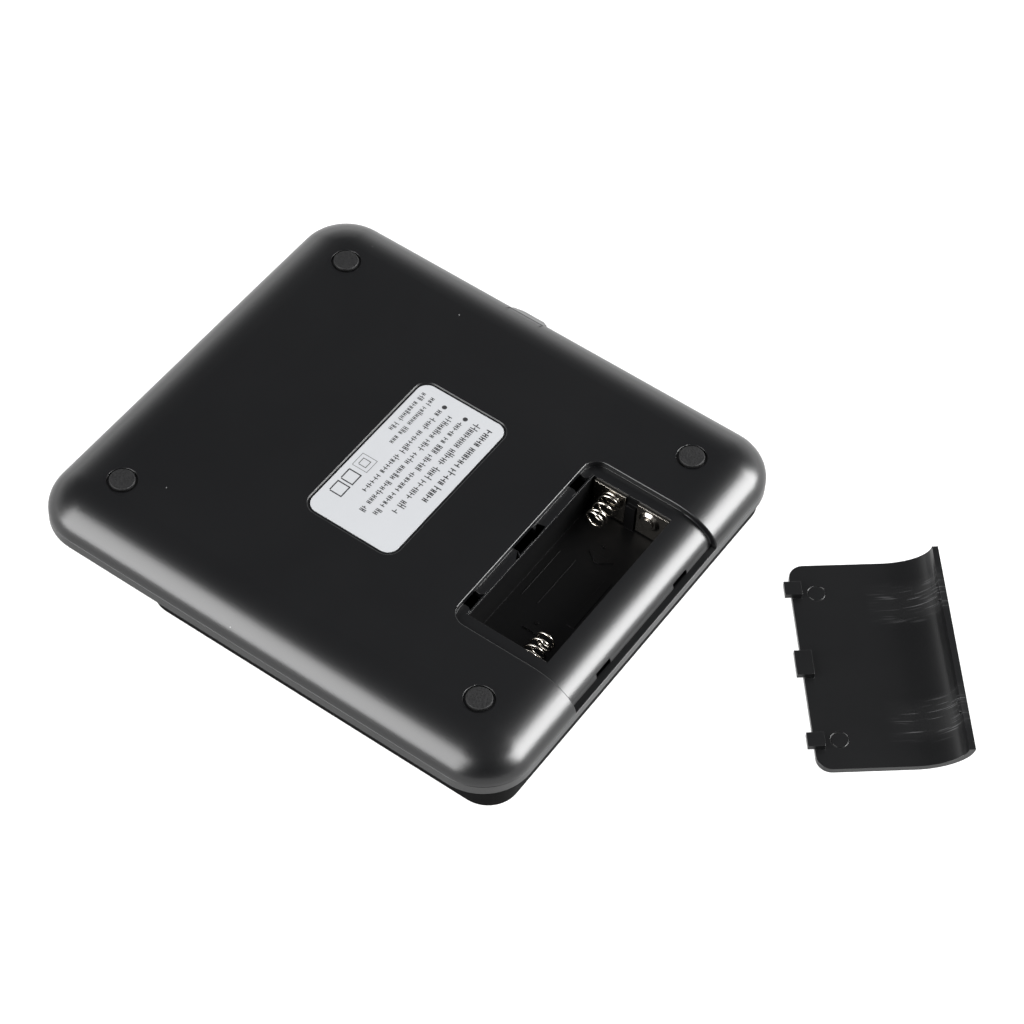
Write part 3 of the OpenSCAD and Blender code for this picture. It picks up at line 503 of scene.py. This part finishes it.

# %% [markdown]
# The cover shows its inside. It is smoother than the outside and carries the marks of its life: rings
# where the ejector pins pushed it out of the mould, and rubbed arcs near the two latches, where it slides
# over the edge of the housing each time the cells are changed. The cover's own axes are turned with it,
# so a Vector Rotate node turns the pattern back before the scratches are drawn.

# %% Cover
COVER_TURN, COVER_X, COVER_Y = 39.2, 99.3, 18.6
cover_plastic = finish("satin black cover plastic", ((0.0026, 0.0027, 0.0029), (0.0036, 0.0037, 0.0039)),
    0.30, 0.06, grain=3600.0, depth=0.25, dust_share=0.08)
tree = cover_plastic.node_tree
shader = tree.nodes["Principled BSDF"]
spot = node_in(tree, "ShaderNodeTexCoord").outputs["Object"]
moved = node_in(tree, "ShaderNodeVectorMath", {0: spot, 1: (COVER_X * MM, COVER_Y * MM, 0.0)},
    operation="SUBTRACT")
own = node_in(tree, "ShaderNodeVectorRotate", {"Vector": moved.outputs["Vector"],
    "Angle": math.radians(-COVER_TURN)}, rotation_type="Z_AXIS")
axes = node_in(tree, "ShaderNodeSeparateXYZ", {"Vector": own.outputs["Vector"]})
from_middle = calc(tree, "ABSOLUTE", axes.outputs["Y"])
zone = calc(tree, "MULTIPLY", fade_over(tree, calc(tree, "ABSOLUTE",
    calc(tree, "SUBTRACT", from_middle, 0.0165)), 0.0065, 0.0035),
    calc(tree, "MULTIPLY", fade_over(tree, axes.outputs["X"], 0.017, 0.026),
    fade_over(tree, axes.outputs["X"], 0.0365, 0.034)))
lines = place_group(tree, hairlines, {"Place": own.outputs["Vector"], "Stretch": (110.0, 3800.0, 150.0),
    "Share": 0.10})["Mask"]
rubbed = calc(tree, "MULTIPLY", zone, lines)
plain_colour = shader.inputs["Base Color"].links[0].from_socket
plain_gloss = shader.inputs["Roughness"].links[0].from_socket
tree.links.new(blend_colour(tree, rubbed, plain_colour, (0.075, 0.075, 0.077)), shader.inputs["Base Color"])
tree.links.new(calc(tree, "ADD", plain_gloss, calc(tree, "MULTIPLY", zone, 0.10)),
    shader.inputs["Roughness"])
softened("battery_cover", "battery_cover_soft", cover_plastic, 0.07)


# %% [markdown]
# Each foot is a die cut disc of rubber sheet with a softly rounded rim. A disc is a cone operator with
# equal radii, and its upper rim is bevelled in four steps.

# %% Rubber feet
def rubber_foot(node):
    low, high = (Vector(v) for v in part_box(node))
    centre, radius = (low + high) / 2, (high.x - low.x) / 2
    bm = bmesh.new()
    bmesh.ops.create_cone(bm, cap_ends=True, segments=64, radius1=radius, radius2=radius,
        depth=high.z - low.z)
    rim = [e for e in bm.edges if all(v.co.z > 0 for v in e.verts)]
    bmesh.ops.bevel(bm, geom=rim, offset=0.28 * MM, offset_type="OFFSET", segments=4, profile=0.5,
        affect="EDGES", material=-1)
    bmesh.ops.translate(bm, verts=bm.verts, vec=centre)
    for face in bm.faces:
        face.smooth = len(face.verts) == 4
    piece = new_piece(node + "_rubber", bm)
    piece.data.materials.append(foot_rubber)
    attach(piece, "housing")
    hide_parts(node)
    return piece


rubber_feet = [rubber_foot(n) for n in feet]
print("feet:", [f.name for f in rubber_feet])

# %% [markdown]
# The rating label is a printed polyester sticker in a shallow pocket. Its lines of print are replaced by
# plain bars, one for each word, in the same places. A seeded generator picks the lengths of the
# words, so every run gives the same label. The bars are pressed flat into one thin layer of ink.

# %% Label sheet
label_film = finish("silver white label film", ((0.275, 0.281, 0.290), (0.291, 0.297, 0.306)), 0.42, 0.05,
    grain=1600.0, depth=0.10, smear_size=60.0)
printing_ink = finish("black printing ink", ((0.009, 0.009, 0.010), (0.015, 0.015, 0.016)), 0.5,
    smear_size=400.0, depth=0.1)


def rounded_plate(bm, x0, x1, y0, y1, z0, z1, radius, segments=6):
    made = bmesh.ops.create_cube(bm, size=1.0)["verts"]
    bmesh.ops.scale(bm, vec=(x1 - x0, y1 - y0, z1 - z0), verts=made)
    bmesh.ops.translate(bm, vec=((x0 + x1) / 2, (y0 + y1) / 2, (z0 + z1) / 2), verts=made)
    upright = list({e for v in made for e in v.link_edges
        if abs(e.verts[0].co.z - e.verts[1].co.z) > (z1 - z0) / 2})
    if radius:
        bmesh.ops.bevel(bm, geom=upright, offset=radius, offset_type="OFFSET", segments=segments,
            profile=0.5, affect="EDGES", material=-1)


bm = bmesh.new()
rounded_plate(bm, label_low.x * MM, label_high.x * MM, label_low.y * MM, label_high.y * MM,
    label_low.z * MM, label_high.z * MM, 3 * MM, 12)
top_rim = [e for e in bm.edges if all(v.co.z > label_high.z * MM - 1e-6 for v in e.verts)]
bmesh.ops.bevel(bm, geom=top_rim, offset=0.03 * MM, offset_type="OFFSET", segments=2, profile=0.5,
    affect="EDGES", material=-1)
label = new_piece("label_sheet", bm)
label.data.materials.append(label_film)
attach(label, "housing")
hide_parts("rating_label")
print("label in mm:", tuple(round(v, 1) for v in label_high - label_low))

# %% Generic print
ink_low, ink_high = label_high.z * MM - 0.004 * MM, label_high.z * MM + 0.012 * MM
words = random.Random(11)
bm = bmesh.new()


def printed_line(x, height, start, end, weight, bullet=False):
    y = start
    if bullet:
        disc = bmesh.ops.create_cone(bm, cap_ends=True, segments=20, radius1=0.62 * MM,
            radius2=0.62 * MM, depth=ink_high - ink_low)["verts"]
        bmesh.ops.translate(bm, verts=disc, vec=(x * MM, (y - 0.65) * MM, (ink_low + ink_high) / 2))
        y -= 2.1
    while y > end + 0.8:
        letters = words.randint(2, 8)
        for _ in range(letters):
            if y < end:
                break
            width = words.choice((0.7, 0.8, 0.9)) * height / 2
            tall = words.choice((0.72, 0.72, 1.0, 0.72)) * height
            low_x = x - height / 2
            for part in words.choice(((0, 1), (0, 1), (1,), (0,))):
                step = part * (width - weight)
                rounded_plate(bm, low_x * MM, (low_x + tall) * MM, (y - step - weight) * MM,
                    (y - step) * MM, ink_low, ink_high, 0)
            rounded_plate(bm, (low_x + tall * 0.42) * MM, (low_x + tall * 0.42 + weight) * MM,
                (y - width) * MM, y * MM, ink_low, ink_high, 0)
            y -= width + 0.34
        y -= 0.75


lines = ((8.3, 2.1, 20.6, -7.0, 0.30, False), (4.7, 2.1, 20.6, -12.8, 0.26, False),
    (1.3, 1.7, 20.6, -16.4, 0.24, True), (-1.8, 1.7, 18.4, -17.0, 0.24, False),
    (-4.8, 1.7, 20.6, -11.3, 0.24, True), (-8.4, 1.5, 20.6, 3.1, 0.20, False),
    (-11.0, 1.5, 20.6, 6.5, 0.20, False))
for x, height, start, end, weight, bullet in lines:
    printed_line(x, height, start, end, weight, bullet)
for middle_y, half in ((-5.0, 2.1), (-5.0, 1.05), (-10.2, 1.7), (-14.6, 1.7)):
    for sign in (-1, 1):
        thick = 0.12 if half == 2.1 else 0.18 if half == 1.05 else 0.32
        rounded_plate(bm, (-9.75 - half) * MM, (-9.75 + half) * MM,
            (middle_y + sign * half - thick) * MM, (middle_y + sign * half) * MM, ink_low, ink_high, 0)
        rounded_plate(bm, (-9.75 + sign * half - thick) * MM, (-9.75 + sign * half) * MM,
            (middle_y - half) * MM, (middle_y + half) * MM, ink_low, ink_high, 0)
printing = new_piece("label_printing", bm)
printing.data.materials.append(printing_ink)
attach(printing, "housing")
print("printed blocks:", len(printing.data.polygons) // 6)

# %% [markdown]
# A battery spring is round wire wound on a taper, with one close turn at each end. The spin operator
# winds it: a ring of wire is turned about the axis and raised a little at each step. Three spins in a row
# give the close turn, the open turns and the last close turn, and then the coil is tapered towards its
# free end.

# %% Battery springs
def battery_spring(node, wall_is_high):
    low, high = (Vector(v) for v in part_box(node))
    wire, steps = 0.24 * MM, 28
    length, reach = high.y - low.y, (high.z - low.z) / 2
    close = 2.3 * wire
    open_rise = (length - 2 * wire - 2 * close) / 2.5
    bm = bmesh.new()
    ring = bmesh.ops.create_circle(bm, cap_ends=False, segments=12, radius=wire)["verts"]
    bmesh.ops.rotate(bm, verts=ring, cent=(0, 0, 0), matrix=Matrix.Rotation(math.radians(90), 3, "X"))
    bmesh.ops.translate(bm, verts=ring, vec=(reach - wire, 0, 0))
    last = list({e for v in ring for e in v.link_edges}) + ring
    for turns, rise in ((1, close), (2.5, open_rise), (1, close)):
        count = int(steps * turns)
        spun = bmesh.ops.spin(bm, geom=last, cent=(0, 0, 0), axis=(0, 0, 1), dvec=(0, 0, rise / steps),
            angle=math.radians(360 * turns), steps=count, use_merge=False, use_duplicate=False)
        last = spun["geom_last"]
    bmesh.ops.contextual_create(bm, geom=[e for e in bm.edges if e.is_boundary and e.verts[0].co.z < wire
        + 1e-9 and e.verts[1].co.z < wire + 1e-9])
    bmesh.ops.holes_fill(bm, edges=[e for e in bm.edges if e.is_boundary], sides=0)
    bmesh.ops.recalc_face_normals(bm, faces=bm.faces)
    top = length - 2 * wire
    for vert in bm.verts:
        near_wall = 1 - 0.113 * max(0.0, min(1.0, vert.co.z / top))
        vert.co.x *= near_wall
        vert.co.y *= near_wall
    bmesh.ops.translate(bm, verts=bm.verts, vec=(0, 0, wire))
    tip = 90 if wall_is_high else -90
    bmesh.ops.rotate(bm, verts=bm.verts, cent=(0, 0, 0), matrix=Matrix.Rotation(math.radians(tip), 3, "X"))
    bmesh.ops.translate(bm, verts=bm.verts,
        vec=((low.x + high.x) / 2, high.y if wall_is_high else low.y, (low.z + high.z) / 2))
    for face in bm.faces:
        face.smooth = len(face.verts) == 4
    piece = new_piece(node + "_wire", bm)
    piece.data.materials.append(spring_wire)
    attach(piece, "housing")
    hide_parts(node)
    print(node, "winds over", round(length / MM, 1), "mm")
    return piece


battery_spring("spring_inner", True)
battery_spring("spring_outer", False)

# %% [markdown]
# The pieces that stay CAD nodes keep their shape and only get a finish. Most lie inside the closed
# housing, but they are finished like the rest, because someone may open the model.

# %% Finishes of the carried over nodes
carried = {
    "platform_skin": brushed_skin, "platform_spider": sheet_steel, "platform_spacer": aluminium,
    "platform_screws": zinc, "housing_screws": zinc, "load_cell_screws": zinc, "board_screws": zinc,
    "load_cell": aluminium, "strain_gauges": gauge_film, "load_cell_cable": black_lead,
    "battery_lead_red": red_lead, "battery_lead_black": black_lead, "main_board": board_green,
    "controller_chip": epoxy, "tact_switches": switch_plastic, "lcd_glass": display_glass,
    "backlight": light_guide, "zebra_strip": zebra_rubber, "display_window": window_clear,
    "display_overlay": overlay_film, "key_power": key_plastic, "key_tare": key_plastic,
    "key_unit": key_plastic, "key_count": key_plastic}
for name, material in carried.items():
    nodes[name].data.materials.clear()
    nodes[name].data.materials.append(material)
replaced = {"base_shell": base_plastic, "top_shell": top_plastic, "battery_cover": cover_plastic,
    "platform_tray": tray_plastic_painted_shade, "rating_label": label_film, "spring_inner": spring_wire,
    "spring_outer": spring_wire, "spring_plate": nickel, "positive_plate": nickel, "link_plate": nickel,
    **{n: foot_rubber for n in feet}}
for name, material in replaced.items():
    nodes[name].data.materials.clear()
    nodes[name].data.materials.append(material)
print("nodes without a finish:", [n for n in nodes.keys() if n not in carried and n not in replaced])
